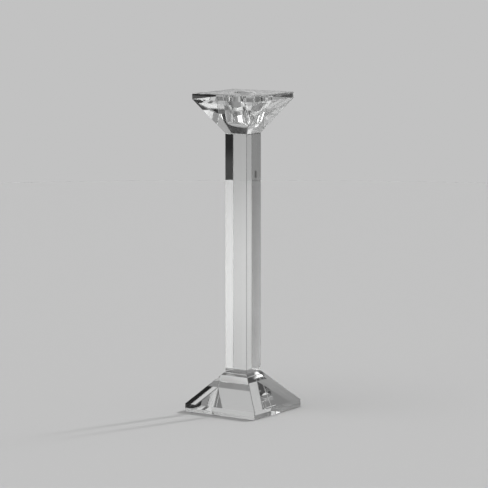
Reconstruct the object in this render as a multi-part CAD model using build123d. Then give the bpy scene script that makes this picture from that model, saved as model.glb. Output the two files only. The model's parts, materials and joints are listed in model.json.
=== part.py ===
from build123d import *
import os

# A glass candlestick of three solid blocks of clear glass, bonded end to end: a square
# foot, a square column and a flared square head with a round socket for one dinner candle.
# Millimetres. The origin is the centre of the underside, +Z is up, and every flat side
# of the three blocks faces along X or Y.

# Foot: an upright band round the bottom, with four slopes that rise to the column.
FOOT_WIDTH = 80.0
FOOT_BAND_HEIGHT = 7.6
FOOT_SLOPE_HEIGHT = 29.7

# Column: a plain square bar. The two blocks taper to this width where they meet it.
COLUMN_WIDTH = 24.7
COLUMN_LENGTH = 228.0

# Head: four slopes that open upwards to an upright band round the rim.
HEAD_WIDTH = 69.4
HEAD_SLOPE_HEIGHT = 32.6
HEAD_BAND_HEIGHT = 5.7

# Socket: the round blind hole that the candle stands in, with a small clearance all round.
CANDLE_DIAMETER = 23.0
CANDLE_CLEARANCE = 0.8
SOCKET_DEPTH = 25.8
SOCKET_FLOOR_ROUND = 3.0
SOCKET_MOUTH_BEVEL = 0.5

# Every ground edge is taken off with a narrow flat, called an arris.
ARRIS = 0.5

# The clear film of cured adhesive in each joint covers the flat ends, as far as their arrises.
FILM_THICKNESS = 0.1

# What follows from the sizes above.
FOOT_HEIGHT = FOOT_BAND_HEIGHT + FOOT_SLOPE_HEIGHT
HEAD_HEIGHT = HEAD_SLOPE_HEIGHT + HEAD_BAND_HEIGHT
COLUMN_BOTTOM = FOOT_HEIGHT + FILM_THICKNESS
HEAD_BOTTOM = COLUMN_BOTTOM + COLUMN_LENGTH + FILM_THICKNESS
SOCKET_RADIUS = CANDLE_DIAMETER / 2 + CANDLE_CLEARANCE
JOINT_WIDTH = COLUMN_WIDTH - 2 * ARRIS


def square_bar(width, height, bottom):
    """An upright square bar, standing on the level called bottom."""
    return extrude(Plane.XY.offset(bottom) * Rectangle(width, width), amount=height)


def tapered_bar(bottom_width, top_width, height, bottom):
    """A square bar whose four sides slope evenly from one width to another."""
    lower = Plane.XY.offset(bottom) * Rectangle(bottom_width, bottom_width)
    upper = Plane.XY.offset(bottom + height) * Rectangle(top_width, top_width)
    return loft([lower, upper])


def take_off_edges(block):
    """Bevels the corners and both ends of a block. The line between band and slope stays crisp."""
    level_edges = block.edges().filter_by(Plane.XY)
    end_edges = level_edges.group_by(Axis.Z)[0] + level_edges.group_by(Axis.Z)[-1]
    corner_edges = block.edges() - level_edges
    return chamfer(corner_edges + end_edges, ARRIS)


def make_foot():
    """The foot block: a band, and a taper that ends at the column's own width."""
    band = square_bar(FOOT_WIDTH, FOOT_BAND_HEIGHT, 0)
    slopes = tapered_bar(FOOT_WIDTH, COLUMN_WIDTH, FOOT_SLOPE_HEIGHT, FOOT_BAND_HEIGHT)
    return take_off_edges(band + slopes)


def make_column():
    """The column: one square bar."""
    return take_off_edges(square_bar(COLUMN_WIDTH, COLUMN_LENGTH, COLUMN_BOTTOM))


def make_head():
    """The head block: the foot's form turned over, with the candle socket bored in its top."""
    slopes = tapered_bar(COLUMN_WIDTH, HEAD_WIDTH, HEAD_SLOPE_HEIGHT, HEAD_BOTTOM)
    band = square_bar(HEAD_WIDTH, HEAD_BAND_HEIGHT, HEAD_BOTTOM + HEAD_SLOPE_HEIGHT)
    block = take_off_edges(slopes + band)
    top = Plane.XY.offset(HEAD_BOTTOM + HEAD_HEIGHT)
    bore = extrude(top * Circle(SOCKET_RADIUS), amount=-SOCKET_DEPTH)
    bore = fillet(bore.edges().sort_by(Axis.Z)[0], SOCKET_FLOOR_ROUND)
    block -= bore
    mouth = block.edges().filter_by(GeomType.CIRCLE).sort_by(Axis.Z)[-1]
    return chamfer(mouth, SOCKET_MOUTH_BEVEL)


def make_film(bottom):
    """One film of adhesive, a thin square sheet between two polished ends."""
    return square_bar(JOINT_WIDTH, FILM_THICKNESS, bottom)


os.makedirs("parts", exist_ok=True)
export_step(make_foot(), "parts/foot_block.step")
export_step(make_film(FOOT_HEIGHT), "parts/foot_joint_film.step")
export_step(make_column(), "parts/column_bar.step")
export_step(make_film(COLUMN_BOTTOM + COLUMN_LENGTH), "parts/head_joint_film.step")
export_step(make_head(), "parts/head_block.step")
print("overall height", HEAD_BOTTOM + HEAD_HEIGHT, "socket radius", SOCKET_RADIUS)
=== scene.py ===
# %% [markdown]
# # A glass candlestick
# Three blocks of clear glass are bonded end to end: a square foot, a square column and a
# flared head with a round candle socket. Clear glass has no colour of its own. All that the
# eye sees is the room, bent and mirrored by flat polished faces. So the work here is exact
# geometry first, then a joint that light can cross, then a studio worth looking at.

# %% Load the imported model
import bpy
import json
from math import cos, pi, radians, sin
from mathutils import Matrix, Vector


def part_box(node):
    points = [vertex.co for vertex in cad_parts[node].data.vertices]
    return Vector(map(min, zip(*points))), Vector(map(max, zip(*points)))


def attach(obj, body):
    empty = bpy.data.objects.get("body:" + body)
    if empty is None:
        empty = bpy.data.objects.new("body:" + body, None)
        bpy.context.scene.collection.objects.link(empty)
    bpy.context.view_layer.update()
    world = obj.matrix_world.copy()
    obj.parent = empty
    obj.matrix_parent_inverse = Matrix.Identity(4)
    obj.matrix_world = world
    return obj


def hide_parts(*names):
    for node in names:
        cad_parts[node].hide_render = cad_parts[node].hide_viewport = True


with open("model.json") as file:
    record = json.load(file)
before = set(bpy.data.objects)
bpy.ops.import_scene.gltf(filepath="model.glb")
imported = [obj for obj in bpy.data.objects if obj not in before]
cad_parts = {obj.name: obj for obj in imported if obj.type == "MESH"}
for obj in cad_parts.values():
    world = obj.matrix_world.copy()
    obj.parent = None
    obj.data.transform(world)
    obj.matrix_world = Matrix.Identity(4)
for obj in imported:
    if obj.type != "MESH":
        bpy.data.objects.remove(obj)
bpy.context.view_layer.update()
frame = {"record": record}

# %% [markdown]
# ## The camera
# It stands 2.4 metres away with a long lens, a little above the candlestick, and looks
# down by a few degrees. A long lens keeps the upright edges of the column parallel.

# %% Camera
VIEW_AZIMUTH = radians(33.93)
VIEW_PITCH = radians(7.55)
CAMERA_DISTANCE = 2.4417
CAMERA_HEIGHT = 0.4832
LENS = 191.2
SENSOR_WIDTH = 36
SIDE_SHIFT = 0.0019
FARTHEST_SEEN = 100


def make_camera():
    """A camera that faces the candlestick's axis, with one corner of the foot nearest to it."""
    data = bpy.data.cameras.new("camera")
    data.lens = LENS
    data.sensor_width = SENSOR_WIDTH
    data.shift_x = SIDE_SHIFT
    data.clip_end = FARTHEST_SEEN
    camera = bpy.data.objects.new("camera", data)
    bpy.context.collection.objects.link(camera)
    camera.location = (
        CAMERA_DISTANCE * sin(VIEW_AZIMUTH),
        -CAMERA_DISTANCE * cos(VIEW_AZIMUTH),
        CAMERA_HEIGHT,
    )
    camera.rotation_euler = (pi / 2 - VIEW_PITCH, 0, VIEW_AZIMUTH)
    return camera


bpy.context.scene.camera = make_camera()
print("camera", tuple(round(c, 3) for c in bpy.context.scene.camera.location))

# %% [markdown]
# ## Helpers for node trees
# Every material, the studio and the blocks are node trees. These helpers add a node, set
# its plain values and link its inputs in one call.


# %% Node helpers
def add_node(tree, kind, inputs=None, **settings):
    """Adds a node, sets its properties, then sets or links its inputs by name or by number."""
    node = tree.nodes.new(kind)
    for name, value in settings.items():
        setattr(node, name, value)
    for name, value in (inputs or {}).items():
        connect(tree, value, node.inputs[name])
    return node


def connect(tree, value, socket):
    """Links a socket's source to it, or stores a plain value in it."""
    if isinstance(value, bpy.types.NodeSocket):
        tree.links.new(value, socket)
    else:
        socket.default_value = value


def maths(tree, operation, a, b=0.0):
    """A Math node's result."""
    return add_node(tree, "ShaderNodeMath", {0: a, 1: b}, operation=operation).outputs[0]


def map_range(tree, value, start, end, at_start, at_end, **settings):
    """A value's place between start and end, carried over to two other values."""
    inputs = {"Value": value, 1: start, 2: end, 3: at_start, 4: at_end}
    return add_node(tree, "ShaderNodeMapRange", inputs, **settings).outputs[0]


def blend(tree, factor, a, b):
    """A Mix node's result: the first value at a factor of nought and the second at one."""
    return add_node(tree, "ShaderNodeMix", {0: factor, 2: a, 3: b}).outputs[0]


def split(tree, vector):
    """A vector's three parts, by the names X, Y and Z."""
    return add_node(tree, "ShaderNodeSeparateXYZ", {0: vector}).outputs


def vector_maths(tree, operation, output, a, b=(0, 0, 0)):
    """One output of a Vector Math node."""
    return add_node(tree, "ShaderNodeVectorMath", {0: a, 1: b}, operation=operation).outputs[output]


def turned_to_camera(tree, vector):
    """A vector turned about the vertical, so that X is the camera's right and Y is away from it."""
    inputs = {"Vector": vector, "Angle": -VIEW_AZIMUTH}
    return add_node(tree, "ShaderNodeVectorRotate", inputs, rotation_type="Z_AXIS").outputs[0]


def new_material(name):
    """A material with an empty node tree."""
    material = bpy.data.materials.new(name)
    material.use_nodes = True
    material.node_tree.nodes.clear()
    return material, material.node_tree


def show_surface(tree, shader):
    """Ends a material's tree with a shader."""
    add_node(tree, "ShaderNodeOutputMaterial", {"Surface": shader.outputs[0]})


print("helpers for node trees are ready")

# %% [markdown]
# ## The blocks
# On the real candlestick each block is sawn, ground flat and polished, and its sharp edges
# are taken off with a narrow flat, called an arris. The foot, the column and the head all
# follow one rule: square sections of different widths, stacked up. Geometry Nodes hold that
# rule once. The tree starts from an eight-sided tube of five rings, and moves each point to
# its place: the ring gives the level and the width, and the side gives the corner. The long
# faces are polished clear. The arrises are only ground, so they are less smooth. Those of the
# column and the head are tinted grey, which is painted shade for the dark lines along them.

# %% Sizes of the blocks
MM = 0.001
ARRIS = 0.5 * MM
FOOT_BAND = 7.6 * MM
HEAD_BAND = 5.7 * MM
foot_low, foot_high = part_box("foot_block")
column_low, column_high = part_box("column_bar")
head_low, head_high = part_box("head_block")
foot_width = foot_high[0] - foot_low[0]
column_width = column_high[0] - column_low[0]
head_width = head_high[0] - head_low[0]
print("foot", foot_width, "column", column_width, "head", head_width)


# %% Helpers for geometry trees
def new_geometry_tree(name, inputs):
    """An empty geometry tree with a geometry output and one input for each (name, kind)."""
    tree = bpy.data.node_groups.new(name, "GeometryNodeTree")
    for label, kind in inputs:
        tree.interface.new_socket(label, in_out="INPUT", socket_type=kind)
    tree.interface.new_socket("Geometry", in_out="OUTPUT", socket_type="NodeSocketGeometry")
    return tree, add_node(tree, "NodeGroupInput"), add_node(tree, "NodeGroupOutput")


def ring_number(tree, level, segments):
    """The number of the ring that a point of an upright tube lies in, counted from the bottom."""
    half_way = maths(tree, "MULTIPLY", segments, 0.5)
    return maths(tree, "ROUND", maths(tree, "ADD", level, half_way))


def ring_value(tree, ring, values):
    """The value that belongs to a ring's number."""
    node = add_node(tree, "GeometryNodeIndexSwitch", data_type="FLOAT")
    while len(node.index_switch_items) < len(values):
        node.index_switch_items.new()
    connect(tree, ring, node.inputs["Index"])
    for number, value in enumerate(values):
        connect(tree, value, node.inputs[number + 1])
    return node.outputs[0]


def move_points(tree, geometry, x, y, z):
    """The same geometry with each point moved to its new place."""
    spot = add_node(tree, "ShaderNodeCombineXYZ", {"X": x, "Y": y, "Z": z})
    inputs = {"Geometry": geometry, "Position": spot.outputs[0]}
    return add_node(tree, "GeometryNodeSetPosition", inputs).outputs[0]


def give_material(tree, geometry, material, faces=True):
    """The same geometry with a material on the chosen faces."""
    inputs = {"Geometry": geometry, "Selection": faces, "Material": material}
    return add_node(tree, "GeometryNodeSetMaterial", inputs).outputs[0]


print("helpers for geometry trees are ready")

# %% [markdown]
# An arris is as wide on a slope as on an upright side, so the rings next to both ends lie one
# arris away from the end, measured along the side. The bonded ends and the arrises are told
# apart from the long faces by the way they face.

# %% The parts of a block's rule
BLOCK_SIDES = 8
MERGE_DISTANCE = 1e-6
LEVEL_FACE = 0.99
DIAGONAL_FACE = 0.1


def along(tree, start, end, start_level, end_level, reach):
    """The width and level at a distance up a side that runs from start to end."""
    run = maths(tree, "MULTIPLY", maths(tree, "SUBTRACT", end, start), 0.5)
    rise = maths(tree, "SUBTRACT", end_level, start_level)
    slant_squared = maths(tree, "ADD", maths(tree, "POWER", run, 2), maths(tree, "POWER", rise, 2))
    slant = maths(tree, "SQRT", slant_squared)
    share = maths(tree, "DIVIDE", reach, slant)
    widening = maths(tree, "MULTIPLY", maths(tree, "SUBTRACT", end, start), share)
    width = maths(tree, "ADD", start, widening)
    level = maths(tree, "ADD", start_level, maths(tree, "MULTIPLY", rise, share))
    return width, level


def block_rings(tree, g):
    """The widths and the levels of a block's five rings, from its bottom to its top."""
    inset = maths(tree, "MULTIPLY", g["Arris"], -2)
    low_width, low_level = along(
        tree, g["Bottom Width"], g["Middle Width"], g["Bottom"], g["Middle"], g["Arris"])
    high_width, high_level = along(
        tree, g["Top Width"], g["Middle Width"], g["Top"], g["Middle"], g["Arris"])
    bottom_width = maths(tree, "ADD", g["Bottom Width"], inset)
    top_width = maths(tree, "ADD", g["Top Width"], inset)
    widths = [bottom_width, low_width, g["Middle Width"], high_width, top_width]
    levels = [g["Bottom"], low_level, g["Middle"], high_level, g["Top"]]
    return widths, levels


def signed_reach(tree, side, is_far, far, near):
    """Plus or minus far on the sides that face this way, plus or minus near on the others."""
    return maths(tree, "MULTIPLY", maths(tree, "SIGN", side), blend(tree, is_far, near, far))


def squared_tube(tree, arris, widths, levels):
    """The eight-sided tube with its points moved to the corners of the stacked squares."""
    segments = len(levels) - 1
    tube = add_node(
        tree, "GeometryNodeMeshCylinder",
        {"Vertices": BLOCK_SIDES, "Side Segments": segments, "Radius": 1.0, "Depth": float(segments)})
    turned = add_node(
        tree, "GeometryNodeTransform",
        {"Geometry": tube.outputs["Mesh"], "Rotation": (0, 0, pi / BLOCK_SIDES)})
    place = split(tree, add_node(tree, "GeometryNodeInputPosition").outputs[0])
    ring = ring_number(tree, place["Z"], segments)
    half = maths(tree, "MULTIPLY", ring_value(tree, ring, widths), 0.5)
    cut = maths(tree, "SUBTRACT", half, arris)
    x_size = maths(tree, "ABSOLUTE", place["X"])
    y_size = maths(tree, "ABSOLUTE", place["Y"])
    x_is_far = maths(tree, "GREATER_THAN", x_size, y_size)
    x = signed_reach(tree, place["X"], x_is_far, half, cut)
    y = signed_reach(tree, place["Y"], maths(tree, "SUBTRACT", 1.0, x_is_far), half, cut)
    moved = move_points(tree, turned.outputs[0], x, y, ring_value(tree, ring, levels))
    merged = add_node(
        tree, "GeometryNodeMergeByDistance", {"Geometry": moved, "Distance": MERGE_DISTANCE})
    flat = add_node(
        tree, "GeometryNodeSetShadeSmooth",
        {"Geometry": merged.outputs[0], "Shade Smooth": False})
    return flat.outputs[0]


def on_arris(tree, facing, low_level, high_level):
    """One on the narrow flats, which face diagonally at the corners and lie next to both ends."""
    diagonal = maths(tree, "ABSOLUTE", maths(tree, "MULTIPLY", facing["X"], facing["Y"]))
    at_corner = maths(tree, "GREATER_THAN", diagonal, DIAGONAL_FACE)
    middle = split(tree, add_node(tree, "GeometryNodeInputPosition").outputs[0])["Z"]
    below = maths(tree, "LESS_THAN", middle, low_level)
    above = maths(tree, "GREATER_THAN", middle, high_level)
    tilted = maths(tree, "LESS_THAN", maths(tree, "ABSOLUTE", facing["Z"]), LEVEL_FACE)
    at_end = maths(tree, "MULTIPLY", maths(tree, "MAXIMUM", below, above), tilted)
    return maths(tree, "MAXIMUM", at_corner, at_end)


def on_bond(tree, facing, g):
    """One on the level end faces that are bonded to another piece."""
    faces_down = maths(tree, "LESS_THAN", facing["Z"], -LEVEL_FACE)
    faces_up = maths(tree, "GREATER_THAN", facing["Z"], LEVEL_FACE)
    under = maths(tree, "MULTIPLY", faces_down, g["Bond Bottom"])
    over = maths(tree, "MULTIPLY", faces_up, g["Bond Top"])
    return maths(tree, "MAXIMUM", under, over)


print("parts of the block rule are ready")


# %% The rule of a block
def make_block_tree():
    """The stacked square sections, with an arris on each corner and round both ends."""
    floats = ["Bottom Width", "Middle Width", "Top Width", "Bottom", "Middle", "Top", "Arris"]
    inputs = [(label, "NodeSocketFloat") for label in floats]
    inputs += [("Bond Bottom", "NodeSocketBool"), ("Bond Top", "NodeSocketBool")]
    inputs += [(label, "NodeSocketMaterial") for label in ("Glass", "Ground Edge", "Bonded Face")]
    tree, given, out = new_geometry_tree("square_block", inputs)
    g = given.outputs
    widths, levels = block_rings(tree, g)
    block = squared_tube(tree, g["Arris"], widths, levels)
    facing = split(tree, add_node(tree, "GeometryNodeInputNormal").outputs[0])
    block = give_material(tree, block, g["Glass"])
    block = give_material(tree, block, g["Ground Edge"], on_arris(tree, facing, levels[1], levels[3]))
    block = give_material(tree, block, g["Bonded Face"], on_bond(tree, facing, g))
    tree.links.new(block, out.inputs[0])
    return tree


block_tree = make_block_tree()
print("block rule", len(block_tree.nodes), "nodes")

# %% [markdown]
# ## The socket
# The maker drills the socket with a ring-shaped diamond drill and polishes it. It has a
# straight wall, a small bevel at the mouth and a rounded corner at its flat floor. The same
# idea serves again: a many-sided cylinder whose rings are moved to follow the profile. It
# is cut out of the head with a Boolean, inside the same tree, so the hole stays editable.

# %% Sizes of the socket
SOCKET_SIDES = 192
ROUND_STEPS = 8
MOUTH_BEVEL = 0.5 * MM
FLOOR_ROUND = 3.0 * MM
CREASE_ANGLE = radians(20)
socket = next(m for m in frame["record"]["mounts"] if m["name"] == "candle_socket")
socket_radius = socket["dims"]["r_mm"] * MM
socket_depth = socket["dims"]["length_mm"] * MM + MOUTH_BEVEL + FLOOR_ROUND
print("socket radius", socket_radius, "depth", socket_depth)


# %% The rule of the socket
def make_socket_tree():
    """A block with the round candle socket cut down into its top."""
    floats = ["Radius", "Depth", "Top", "Mouth Bevel", "Floor Round"]
    inputs = [("Geometry", "NodeSocketGeometry")]
    inputs += [("Sides", "NodeSocketInt"), ("Round Steps", "NodeSocketInt")]
    inputs += [(label, "NodeSocketFloat") for label in floats]
    inputs += [("Glass", "NodeSocketMaterial")]
    tree, given, out = new_geometry_tree("candle_socket", inputs)
    g = given.outputs
    segments = maths(tree, "ADD", g["Round Steps"], 2)
    tube = add_node(
        tree, "GeometryNodeMeshCylinder",
        {"Vertices": g["Sides"], "Side Segments": segments, "Radius": 1.0, "Depth": segments})
    place = split(tree, add_node(tree, "GeometryNodeInputPosition").outputs[0])
    ring = ring_number(tree, place["Z"], segments)
    arc_share = maths(tree, "MINIMUM", maths(tree, "DIVIDE", ring, g["Round Steps"]), 1)
    turn = maths(tree, "MULTIPLY", arc_share, pi / 2)
    past_round = maths(tree, "SUBTRACT", ring, g["Round Steps"])
    on_wall_top = maths(tree, "COMPARE", past_round, 1)
    on_cone_top = maths(tree, "COMPARE", past_round, 2)
    inward = maths(tree, "SUBTRACT", 1, maths(tree, "SINE", turn))
    narrowing = maths(tree, "MULTIPLY", g["Floor Round"], inward)
    flare = maths(tree, "MULTIPLY", g["Mouth Bevel"], maths(tree, "MULTIPLY", on_cone_top, 2))
    radius = maths(tree, "ADD", maths(tree, "SUBTRACT", g["Radius"], narrowing), flare)
    upward = maths(tree, "SUBTRACT", 1, maths(tree, "COSINE", turn))
    lift = maths(tree, "MULTIPLY", g["Floor Round"], upward)
    floor_level = maths(tree, "SUBTRACT", g["Top"], g["Depth"])
    level = maths(tree, "ADD", floor_level, lift)
    wall_top = maths(tree, "SUBTRACT", g["Top"], g["Mouth Bevel"])
    cone_top = maths(tree, "ADD", g["Top"], g["Mouth Bevel"])
    level = blend(tree, on_wall_top, level, wall_top)
    level = blend(tree, on_cone_top, level, cone_top)
    x = maths(tree, "MULTIPLY", place["X"], radius)
    y = maths(tree, "MULTIPLY", place["Y"], radius)
    cutter = move_points(tree, tube.outputs["Mesh"], x, y, level)
    lined = give_material(tree, cutter, g["Glass"])
    cut = add_node(
        tree, "GeometryNodeMeshBoolean", {"Mesh 1": g["Geometry"], "Mesh 2": lined},
        operation="DIFFERENCE", solver="EXACT")
    smooth = add_node(
        tree, "GeometryNodeSetShadeSmooth",
        {"Geometry": cut.outputs["Mesh"], "Shade Smooth": True}, domain="FACE")
    angle = add_node(tree, "GeometryNodeInputMeshEdgeAngle").outputs["Unsigned Angle"]
    crisp = maths(tree, "GREATER_THAN", angle, CREASE_ANGLE)
    creased = add_node(
        tree, "GeometryNodeSetShadeSmooth",
        {"Geometry": smooth.outputs[0], "Selection": crisp, "Shade Smooth": False}, domain="EDGE")
    tree.links.new(creased.outputs[0], out.inputs[0])
    return tree


socket_tree = make_socket_tree()
print("socket rule", len(socket_tree.nodes), "nodes")

# %% [markdown]
# ## Glass
# Clear glass is almost colourless. Over a long path it turns a little grey green, so the tint
# is slight. Its faces are polished flat, and handling leaves soft smudges on them. The drilled
# wall of the socket is the hardest part to polish, so it keeps a ripple, drawn out upwards, the
# way the drill ran. One node group makes both marks from the position on the block, and each
# kind of glass sets its own amounts.

# %% Node group for a handled, polished surface
HANDLED_INPUTS = (
    "Clean Roughness", "Smudge Roughness", "Smudge Size", "Ripple Size", "Ripple Stretch")
SMUDGE_START = 0.56
SMUDGE_END = 0.74
SMUDGE_DETAIL = 4.0
RIPPLE_DETAIL = 1.0


def make_handled_group():
    """Gives a roughness for the smudges and a height for the ripple."""
    tree = bpy.data.node_groups.new("handled_polish", "ShaderNodeTree")
    for label in HANDLED_INPUTS:
        tree.interface.new_socket(label, in_out="INPUT", socket_type="NodeSocketFloat")
    for label in ("Roughness", "Height"):
        tree.interface.new_socket(label, in_out="OUTPUT", socket_type="NodeSocketFloat")
    given = add_node(tree, "NodeGroupInput").outputs
    out = add_node(tree, "NodeGroupOutput")
    place = add_node(tree, "ShaderNodeTexCoord").outputs["Object"]
    smudge = add_node(
        tree, "ShaderNodeTexNoise",
        {"Vector": place, "Scale": maths(tree, "DIVIDE", 1, given["Smudge Size"]),
         "Detail": SMUDGE_DETAIL})
    roughness = map_range(
        tree, smudge.outputs[0], SMUDGE_START, SMUDGE_END,
        given["Clean Roughness"], given["Smudge Roughness"])
    upright = add_node(
        tree, "ShaderNodeCombineXYZ",
        {"X": 1.0, "Y": 1.0, "Z": maths(tree, "DIVIDE", 1, given["Ripple Stretch"])})
    drawn_out = vector_maths(tree, "MULTIPLY", "Vector", place, upright.outputs[0])
    ripple = add_node(
        tree, "ShaderNodeTexNoise",
        {"Vector": drawn_out, "Scale": maths(tree, "DIVIDE", 1, given["Ripple Size"]),
         "Detail": RIPPLE_DETAIL})
    tree.links.new(roughness, out.inputs["Roughness"])
    tree.links.new(ripple.outputs[0], out.inputs["Height"])
    return tree


handled = make_handled_group()
print("handled polish", len(handled.nodes), "nodes")

# %% [markdown]
# Sunlight goes through a block of glass and lands on the table, brighter in some places and
# darker in others. Tracing that light exactly takes very long. Instead each face lets a share
# of the light of the lamps through: almost all of it where the light meets the face squarely,
# less where it only grazes the face, and very little through the upright band of the foot and
# its underside, where the light stays trapped inside. That is enough to give the pale shadow
# with two darker edges that a square glass bar casts. The edges pale towards the shadow's far
# end, because the faces there let more and more of the light through.

# %% Glass materials
GLASS_BEND = 1.52
CLEAR = (0.985, 0.99, 0.985)
# painted shade: grey tint on the column and head arrises, standing in for their dark edge lines
PAINTED_EDGE_GREY = (0.6, 0.61, 0.6)
ADHESIVE_TINT = (0.97, 0.98, 0.96)
SMUDGE_SIZE = 30 * MM
# roughness where clean, roughness where smudged
POLISHED = (0.0, 0.01)
GROUND = (0.22, 0.3)
ADHESIVE_POLISH = (0.05, 0.1)
# depth, size, upward stretch
NO_RIPPLE = (0.0, 12 * MM, 1.0)
DRILLED = (0.25 * MM, 2.5 * MM, 6.0)
# share of the lamps' light let through
FACE_PASS = 0.99
EDGE_PASS = 0.9
BAR_EDGE_PASS = 0.6
BAND_PASS = 0.1
# how grazing the light is: nought is squarely on the face, one is along it
SQUARELY = 0.25
ALMOST_ALONG = 0.7
# levels between which the shade pales
FADE_START = 60 * MM
FADE_END = 200 * MM


def make_glass(name, tint, polish=POLISHED, ripple=NO_RIPPLE, edge_pass=EDGE_PASS, low_pass=1.0):
    """Glass with its own tint, polish, ripple and shares of light let through."""
    material, tree = new_material(name)
    finish = add_node(tree, "ShaderNodeGroup", node_tree=handled)
    finish.inputs["Clean Roughness"].default_value = polish[0]
    finish.inputs["Smudge Roughness"].default_value = polish[1]
    finish.inputs["Smudge Size"].default_value = SMUDGE_SIZE
    finish.inputs["Ripple Size"].default_value = ripple[1]
    finish.inputs["Ripple Stretch"].default_value = ripple[2]
    bump = add_node(
        tree, "ShaderNodeBump",
        {"Strength": 1.0, "Distance": ripple[0], "Height": finish.outputs["Height"]})
    surface = add_node(
        tree, "ShaderNodeBsdfPrincipled",
        {"Base Color": (*tint, 1), "Metallic": 0.0, "Transmission Weight": 1.0, "IOR": GLASS_BEND,
         "Roughness": finish.outputs["Roughness"], "Normal": bump.outputs[0]})
    grazing = add_node(tree, "ShaderNodeLayerWeight", {"Blend": 0.5}).outputs["Facing"]
    passed = map_range(tree, grazing, SQUARELY, ALMOST_ALONG, FACE_PASS, edge_pass)
    height = split(tree, add_node(tree, "ShaderNodeTexCoord").outputs["Object"])["Z"]
    fade = map_range(tree, height, FADE_START, FADE_END, 0.0, 1.0)
    passed = blend(tree, fade, passed, FACE_PASS)
    low_down = map_range(tree, height, FOOT_BAND, FOOT_BAND + MM, low_pass, 1.0)
    shade = add_node(
        tree, "ShaderNodeBsdfTransparent", {"Color": maths(tree, "MULTIPLY", passed, low_down)})
    is_shadow = add_node(tree, "ShaderNodeLightPath").outputs["Is Shadow Ray"]
    show_surface(tree, add_node(
        tree, "ShaderNodeMixShader", {0: is_shadow, 1: surface.outputs[0], 2: shade.outputs[0]}))
    return material


foot_glass = make_glass("foot_glass", CLEAR, low_pass=BAND_PASS)
column_glass = make_glass("column_glass", CLEAR, edge_pass=BAR_EDGE_PASS)
head_glass = make_glass("head_glass", CLEAR)
socket_glass = make_glass("socket_glass", CLEAR, ripple=DRILLED)
# ground arrises, tinted grey as painted shade for the dark lines along the edges
ground_edge_painted_grey = make_glass("ground_edge_painted_grey", PAINTED_EDGE_GREY, polish=GROUND, edge_pass=BAR_EDGE_PASS)
foot_edge = make_glass("foot_edge", CLEAR, polish=GROUND, low_pass=BAND_PASS)
adhesive = make_glass("joint_adhesive", ADHESIVE_TINT, polish=ADHESIVE_POLISH)
glasses = (foot_glass, column_glass, head_glass, socket_glass, ground_edge_painted_grey, foot_edge, adhesive)
print("glass", [glass.name for glass in glasses])

# %% [markdown]
# Where two blocks are bonded, the adhesive wets both polished faces and bends light as much as
# glass does. Light crosses such a joint as if it were not there, so nothing shows but a hair
# line at the rim. The faces in a joint therefore get a surface that lets everything through.


# %% Bonded faces
def make_bonded_face():
    """A face that is wetted by adhesive on both sides, which light crosses without bending."""
    material = bpy.data.materials.new("bonded_face")
    material.use_nodes = True
    surface = material.node_tree.nodes["Principled BSDF"]
    surface.inputs["Alpha"].default_value = 0.0
    return material


bonded_face = make_bonded_face()
print("joint surface", bonded_face.name)

# %% [markdown]
# ## The pieces
# Each block is a tree run on an empty mesh, and its result is kept as a plain mesh. Modelling
# the blocks by hand would give the same faces, but the sizes would be hidden in them. The
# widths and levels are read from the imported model, so the two can never drift apart.

# %% Make the pieces
def set_inputs(modifier, tree, values):
    """Sets a modifier's inputs by their names, through each socket's identifier."""
    for item in tree.interface.items_tree:
        if item.item_type == "SOCKET" and item.in_out == "INPUT" and item.name in values:
            modifier[item.identifier] = values[item.name]


def drop_empty_slots(mesh):
    """Removes the material slots that no face uses."""
    used = sorted({face.material_index for face in mesh.polygons})
    materials = [mesh.materials[index] for index in used]
    places = {index: used.index(index) for index in used}
    indices = [places[face.material_index] for face in mesh.polygons]
    mesh.materials.clear()
    for material in materials:
        mesh.materials.append(material)
    mesh.polygons.foreach_set("material_index", indices)


def make_piece(name, node, steps):
    """Runs the trees on an empty mesh, keeps the result as a plain mesh, and gives it its place."""
    source = bpy.data.objects.new(name + "_source", bpy.data.meshes.new(name + "_source"))
    bpy.context.collection.objects.link(source)
    for tree, values in steps:
        modifier = source.modifiers.new(tree.name, "NODES")
        modifier.node_group = tree
        set_inputs(modifier, tree, values)
    evaluated = source.evaluated_get(bpy.context.evaluated_depsgraph_get())
    mesh = bpy.data.meshes.new_from_object(evaluated)
    mesh.name = name
    drop_empty_slots(mesh)
    piece = bpy.data.objects.new(name, mesh)
    bpy.context.collection.objects.link(piece)
    bpy.data.objects.remove(source)
    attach(piece, "root")
    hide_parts(node)
    print(name, len(mesh.vertices), "points", [m.name for m in mesh.materials])


def block_sizes(widths, levels, glass, bond_bottom, bond_top, arris=ARRIS, edge=ground_edge_painted_grey):
    """The block tree's inputs for three widths and three levels."""
    return {
        "Bottom Width": widths[0], "Middle Width": widths[1], "Top Width": widths[2],
        "Bottom": levels[0], "Middle": levels[1], "Top": levels[2], "Arris": arris,
        "Bond Bottom": bond_bottom, "Bond Top": bond_top, "Glass": glass,
        "Ground Edge": edge, "Bonded Face": bonded_face,
    }


print("ready to make pieces")

# %% [markdown]
# The foot stands on its bare underside and is bonded at its top. The column is bonded at both
# ends. The head is bonded at its bottom, and the socket is cut into its top.

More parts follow.
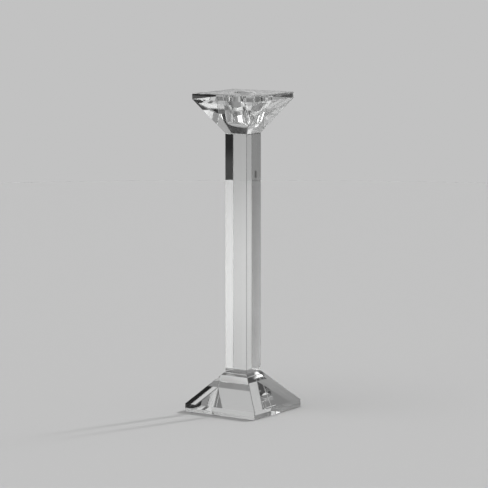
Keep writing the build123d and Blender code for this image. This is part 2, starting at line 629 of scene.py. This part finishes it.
# %% Foot, column and head
make_piece(
    "foot", "foot_block",
    [(block_tree, block_sizes(
        (foot_width, foot_width, column_width), (foot_low[2], foot_low[2] + FOOT_BAND, foot_high[2]),
        foot_glass, False, True, edge=foot_edge))])
make_piece(
    "column", "column_bar",
    [(block_tree, block_sizes(
        (column_width,) * 3, (column_low[2], (column_low[2] + column_high[2]) / 2, column_high[2]),
        column_glass, True, True))])
make_piece(
    "head", "head_block",
    [(block_tree, block_sizes(
        (column_width, head_width, head_width), (head_low[2], head_high[2] - HEAD_BAND, head_high[2]),
        head_glass, True, False)),
     (socket_tree, {
         "Sides": SOCKET_SIDES, "Round Steps": ROUND_STEPS, "Radius": socket_radius,
         "Depth": socket_depth, "Top": head_high[2], "Mouth Bevel": MOUTH_BEVEL,
         "Floor Round": FLOOR_ROUND, "Glass": socket_glass})])

# %% [markdown]
# The adhesive in each joint cures to a film a tenth of a millimetre thick, as wide as the flat
# ends inside their arrises. It is one more block of the same rule, with no arris of its own.

# %% The two films of adhesive
for film_name in ("foot_joint_film", "head_joint_film"):
    film_low, film_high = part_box(film_name)
    film_width = film_high[0] - film_low[0]
    make_piece(
        film_name.replace("_film", "_adhesive"), film_name,
        [(block_tree, block_sizes(
            (film_width,) * 3, (film_low[2], (film_low[2] + film_high[2]) / 2, film_high[2]),
            adhesive, True, True, 0.0, adhesive))])

# %% [markdown]
# ## The studio
# Glass shows its surroundings, so the studio is designed like one: a pale table, pale walls,
# soft lamps above and to the side, and dark things that draw dark lines along the edges. Most
# of it is far away, so the world shader can hold it, as brightness by direction. Modelling the
# room would look the same through the glass and take far more faces. The camera itself sees
# one even pale grey behind the candlestick.


# %% Node group for a patch of light or dark in the world
def make_patch_group():
    """A rectangle of directions with soft edges, one inside and nought outside."""
    tree = bpy.data.node_groups.new("studio_patch", "ShaderNodeTree")
    for label in ("Azimuth", "Elevation"):
        tree.interface.new_socket(label, in_out="INPUT", socket_type="NodeSocketFloat")
    for label in ("Middle Azimuth", "Middle Elevation", "Half Width", "Half Height", "Softness"):
        tree.interface.new_socket(label, in_out="INPUT", socket_type="NodeSocketFloat")
    tree.interface.new_socket("Mask", in_out="OUTPUT", socket_type="NodeSocketFloat")
    given = add_node(tree, "NodeGroupInput").outputs
    out = add_node(tree, "NodeGroupOutput")
    turn = maths(tree, "SUBTRACT", given["Azimuth"], given["Middle Azimuth"])
    wrapped = add_node(tree, "ShaderNodeMath", {0: turn, 1: -180.0, 2: 180.0}, operation="WRAP")
    across = maths(tree, "ABSOLUTE", wrapped.outputs[0])
    rise = maths(tree, "SUBTRACT", given["Elevation"], given["Middle Elevation"])
    upwards = maths(tree, "ABSOLUTE", rise)
    masks = []
    for distance, limit in ((across, given["Half Width"]), (upwards, given["Half Height"])):
        inner = maths(tree, "SUBTRACT", limit, given["Softness"])
        outer = maths(tree, "ADD", limit, given["Softness"])
        masks.append(map_range(tree, distance, inner, outer, 1.0, 0.0, interpolation_type="SMOOTHSTEP"))
    tree.links.new(maths(tree, "MULTIPLY", masks[0], masks[1]), out.inputs["Mask"])
    return tree


patch_group = make_patch_group()
print("studio patch", len(patch_group.nodes), "nodes")

# %% [markdown]
# ## Walls and lamps
# Angles are in degrees. Azimuth 0 is to the camera's right, 90 is straight ahead, 180 is to
# its left and 270 is behind it. Each patch is laid over those before it. The big overhead
# lamp gives the white glints near the joints, and the dark room behind the camera gives the
# dark shapes inside the head.

# %% The world
BACKGROUND = 0.539
WALL_BY_ELEVATION = [
    # elevation, brightness
    (-8, 0.55), (-5, 0.42), (-4, 0.38), (4, 0.46), (12, 0.52), (17, 0.27), (60, 0.27), (80, 0.39),
]
PATCHES = [
    # name, azimuth, elevation, half width, half height, softness, brightness
    ("far_wall_left", 138, 10, 38, 14, 5, 0.17),
    ("far_shade", 96, 20, 10, 5, 2, 0.13),
    ("left_wall_low", 203, -5.2, 28, 4.2, 1.5, 0.27),
    ("left_rail", 203, -3.6, 28, 1.2, 0.5, 0.18),
    ("left_wall", 203, 5, 28, 4, 2.5, 0.50),
    ("left_shade", 188, 15.2, 19, 5, 1.5, 0.17),
    ("left_wall_end", 216, 14, 9, 4, 1, 0.49),
    ("left_stand", 202.42, -6.01, 0.02, 0.08, 0.02, 0.09),
    ("lamp_glow", 213, 42, 26, 11, 6, 0.72),
    ("overhead_lamp", 216.25, 66, 48.75, 12.2, 1, 3.1),
    ("lamp_frame", 168, 50.5, 8, 2.9, 0.3, 0.03),
    ("room_behind_camera", 278, 6, 62, 17, 3, 0.11),
    ("camera_stand", 275.4, 18, 3, 2.4, 0.2, 0.01),
    ("window_behind_camera", 268.84, 10.0, 0.88, 0.53, 0.04, 1.6),
    ("room_right_of_camera", 291, 27, 9, 4, 1, 0.42),
    ("right_panel", 40, 22, 17, 22, 3, 0.58),
    ("right_lamp", 53, 34, 7, 6, 2, 0.77),
    ("right_wall", 11, 8, 14, 6.5, 1, 0.62),
    ("right_shade", 12, 19, 13, 5, 1, 0.015),
]
PATCH_INPUTS = ("Middle Azimuth", "Middle Elevation", "Half Width", "Half Height", "Softness")


def world_level(tree, azimuth, elevation):
    """The studio's brightness in one direction: walls by height, then each patch laid over them."""
    level = WALL_BY_ELEVATION[0][1]
    for (low, start), (high, end) in zip(WALL_BY_ELEVATION, WALL_BY_ELEVATION[1:]):
        level = maths(tree, "ADD", level, map_range(tree, elevation, low, high, 0.0, end - start))
    for name, *sizes, brightness in PATCHES:
        given = dict(zip(PATCH_INPUTS, sizes), Azimuth=azimuth, Elevation=elevation)
        patch = add_node(tree, "ShaderNodeGroup", node_tree=patch_group, name=name)
        for label, value in given.items():
            connect(tree, value, patch.inputs[label])
        level = blend(tree, patch.outputs["Mask"], level, brightness)
    return level


def make_world():
    """An even grey for the camera, and the studio for light and for everything seen in the glass."""
    world = bpy.data.worlds.new("studio")
    bpy.context.scene.world = world
    world.use_nodes = True
    tree = world.node_tree
    tree.nodes.clear()
    direction = add_node(tree, "ShaderNodeTexCoord").outputs["Generated"]
    xyz = split(tree, turned_to_camera(tree, direction))
    elevation = maths(tree, "DEGREES", maths(tree, "ARCSINE", xyz["Z"]))
    azimuth = maths(tree, "DEGREES", maths(tree, "ARCTAN2", xyz["Y"], xyz["X"]))
    seen = add_node(tree, "ShaderNodeLightPath").outputs["Is Camera Ray"]
    studio = add_node(tree, "ShaderNodeBackground", {"Color": world_level(tree, azimuth, elevation)})
    even = add_node(tree, "ShaderNodeBackground", {"Color": (BACKGROUND, BACKGROUND, BACKGROUND, 1)})
    mixed = add_node(tree, "ShaderNodeMixShader", {0: seen, 1: studio.outputs[0], 2: even.outputs[0]})
    add_node(tree, "ShaderNodeOutputWorld", {"Surface": mixed.outputs[0]})


make_world()
print("world with", len(PATCHES), "patches")

# %% [markdown]
# ## The table
# A plain pale table top, a tenth of a millimetre below the candlestick. Polished glass on a
# flat table touches it at a few points only, and the thin layer of air makes the underside a
# mirror. The camera sees an even grey. Seen through the glass, the table has painted light
# and shade in its colour: a wide soft pool of light behind and to the right, painted shade in
# front, and a faint painted glow close round the foot for the light that the foot sends back.

# %% The table top
TABLE_RADIUS = 2.05
TABLE_SIDES = 256
TABLE_GAP = 0.1 * MM
# painted light: a pool of light painted into the table's colour, seen only in the glass
POOL_MIDDLE = (0.51, 0.93, 0)
POOL_RADIUS = 1.43
POOL_BRIGHT = 0.49
POOL_REST = 0.11
# painted light: the right side of the table painted lighter
LIT_SIDE = 0.28
LIT_SIDE_START = -0.12
LIT_SIDE_END = 0.2
# painted shade: the table painted darker in front of the candlestick, seen only in the glass
PAINTED_SHADE_MIDDLE = (0.12, -0.30, 0)
PAINTED_SHADE_NEAR = 0.20
PAINTED_SHADE_FAR = 0.30
PAINTED_SHADE_SHARE = 0.08
# painted glow: the table glows faintly round the foot, standing in for light that the foot sends back
GLOW = 0.2
GLOW_NEAR = 0.045
GLOW_FAR = 0.075


def painted_table_light(tree, place):
    """The table's painted light and shade in each place, for all that sees it but the camera."""
    turned = turned_to_camera(tree, place)
    # painted pool of light behind and to the right
    away = vector_maths(tree, "DISTANCE", "Value", turned, POOL_MIDDLE)
    spread = maths(tree, "POWER", maths(tree, "DIVIDE", away, POOL_RADIUS), 2)
    pool = maths(tree, "DIVIDE", POOL_BRIGHT, maths(tree, "ADD", spread, 1))
    pool = maths(tree, "ADD", pool, POOL_REST)
    # right side of the table painted lighter
    lit = map_range(
        tree, split(tree, turned)["X"], LIT_SIDE_START, LIT_SIDE_END, 0.0, LIT_SIDE,
        interpolation_type="SMOOTHSTEP")
    # painted shade in front
    from_painted_shade = vector_maths(tree, "DISTANCE", "Value", turned, PAINTED_SHADE_MIDDLE)
    painted_shade_factor = map_range(tree, from_painted_shade, PAINTED_SHADE_NEAR, PAINTED_SHADE_FAR, PAINTED_SHADE_SHARE, 1.0)
    return maths(tree, "MULTIPLY", maths(tree, "ADD", pool, lit), painted_shade_factor)


def make_table():
    """A round pale table top, a hair below the candlestick's underside."""
    bpy.ops.mesh.primitive_circle_add(
        vertices=TABLE_SIDES, radius=TABLE_RADIUS, fill_type="NGON", location=(0, 0, -TABLE_GAP))
    table = bpy.context.object
    table.name = "table"
    material, tree = new_material("table_top")
    place = add_node(tree, "ShaderNodeTexCoord").outputs["Object"]
    seen = add_node(tree, "ShaderNodeLightPath").outputs["Is Camera Ray"]
    # painted light and shade of the table for all but the camera; the camera sees the even grey
    colour = blend(tree, seen, painted_table_light(tree, place), BACKGROUND)
    surface = add_node(tree, "ShaderNodeBsdfDiffuse", {"Color": colour})
    # painted glow round the foot, for all but the camera
    from_axis = vector_maths(tree, "LENGTH", "Value", place)
    painted_glow_near_foot = map_range(tree, from_axis, GLOW_NEAR, GLOW_FAR, GLOW, 0.0)
    glow = add_node(
        tree, "ShaderNodeEmission", {"Strength": blend(tree, seen, painted_glow_near_foot, 0.0)})
    show_surface(tree, add_node(
        tree, "ShaderNodeAddShader", {0: surface.outputs[0], 1: glow.outputs[0]}))
    table.data.materials.append(material)


make_table()
print("table radius", TABLE_RADIUS)

# %% [markdown]
# ## The dark card
# A dark card beyond the table draws the black streaks along the slanting edges of the foot. It
# stands near enough for its direction to change from one end of the glass to the other, so the
# world shader cannot hold it, and it is a real flat sheet. Its top slants, and a narrow grey
# rail runs beside the slanting edge. At the table's level both turn to the same dark grey.

# %% The card and its rail
CARD_AZIMUTH = radians(22)
CARD_DISTANCE = 2.43
CARD_SLANT = 0.8
CARD_TOP = 0.4695
CARD_REACH = 1.2
CARD_BLACK = 0.006
RAIL_GREY = 0.12
LOW_GREY = 0.045
LOW_START = -0.01
LOW_END = 0.02
CARD_STRIP = (-1.2, 0.02)
RAIL_STRIP = (0.031, 0.039)


def strip_corners(start, end):
    """The four corners of a strip that leans with the card's slant."""
    towards = VIEW_AZIMUTH + CARD_AZIMUTH
    rise = CARD_REACH * CARD_SLANT
    corners = []
    for across, level in (
            (start + CARD_REACH, CARD_TOP - rise), (end + CARD_REACH, CARD_TOP - rise),
            (end - CARD_REACH, CARD_TOP + rise), (start - CARD_REACH, CARD_TOP + rise)):
        x = CARD_DISTANCE * cos(towards) - across * sin(towards)
        y = CARD_DISTANCE * sin(towards) + across * cos(towards)
        corners.append((x, y, level))
    return corners


def make_strip(name, strip, grey):
    """One flat strip of its own grey, with the low grey at its foot, seen only in the glass."""
    mesh = bpy.data.meshes.new(name)
    mesh.from_pydata(strip_corners(*strip), [], [(0, 1, 2, 3)])
    sheet = bpy.data.objects.new(name, mesh)
    bpy.context.collection.objects.link(sheet)
    material, tree = new_material(name)
    height = split(tree, add_node(tree, "ShaderNodeTexCoord").outputs["Object"])["Z"]
    level = map_range(tree, height, LOW_START, LOW_END, LOW_GREY, grey)
    show_surface(tree, add_node(tree, "ShaderNodeEmission", {"Color": level}))
    mesh.materials.append(material)
    sheet.visible_camera = False
    sheet.visible_diffuse = False
    sheet.visible_shadow = False
    return sheet


card = make_strip("dark_card", CARD_STRIP, CARD_BLACK)
make_strip("card_rail", RAIL_STRIP, RAIL_GREY)
print("card", round(card.dimensions.z, 2), "m high and", CARD_DISTANCE, "m away")

# %% [markdown]
# ## The key lamp
# One far lamp at the back right casts the long faint shadow that runs to the front left. It
# gives almost half of the light on the table, and it is left out of the glass, where the
# studio above already holds every bright shape.

# %% The key lamp
KEY_AZIMUTH = radians(37)
KEY_ELEVATION = radians(35)
KEY_SHARE = 0.45
KEY_SPREAD = radians(2.0)


def make_key_lamp():
    """A far lamp at the back right, which casts the long faint shadow to the front left."""
    data = bpy.data.lights.new("key_lamp", "SUN")
    data.energy = KEY_SHARE * pi / sin(KEY_ELEVATION)
    data.angle = KEY_SPREAD
    lamp = bpy.data.objects.new("key_lamp", data)
    bpy.context.collection.objects.link(lamp)
    lamp.rotation_euler = (pi / 2 - KEY_ELEVATION, 0, pi / 2 + VIEW_AZIMUTH + KEY_AZIMUTH)
    lamp.visible_glossy = False
    lamp.visible_transmission = False
    return lamp


key_lamp = make_key_lamp()
print("key lamp", round(key_lamp.data.energy, 2))

# %% [markdown]
# ## Light paths
# A ray can bounce many times inside a block before it finds its way out, so the limits are
# raised well above their defaults. Light that the glass gathers on the table is switched off,
# because the faces already let their share of the light through.

# %% Render options that the glass needs
MOST_BOUNCES = 32
MOST_REFLECTIONS = 16
scene = bpy.context.scene
scene.view_settings.view_transform = "Standard"
scene.cycles.max_bounces = MOST_BOUNCES
scene.cycles.transmission_bounces = MOST_BOUNCES
scene.cycles.glossy_bounces = MOST_REFLECTIONS
scene.cycles.transparent_max_bounces = MOST_BOUNCES
scene.cycles.caustics_refractive = False
scene.cycles.caustics_reflective = False
print("bounces", scene.cycles.max_bounces)
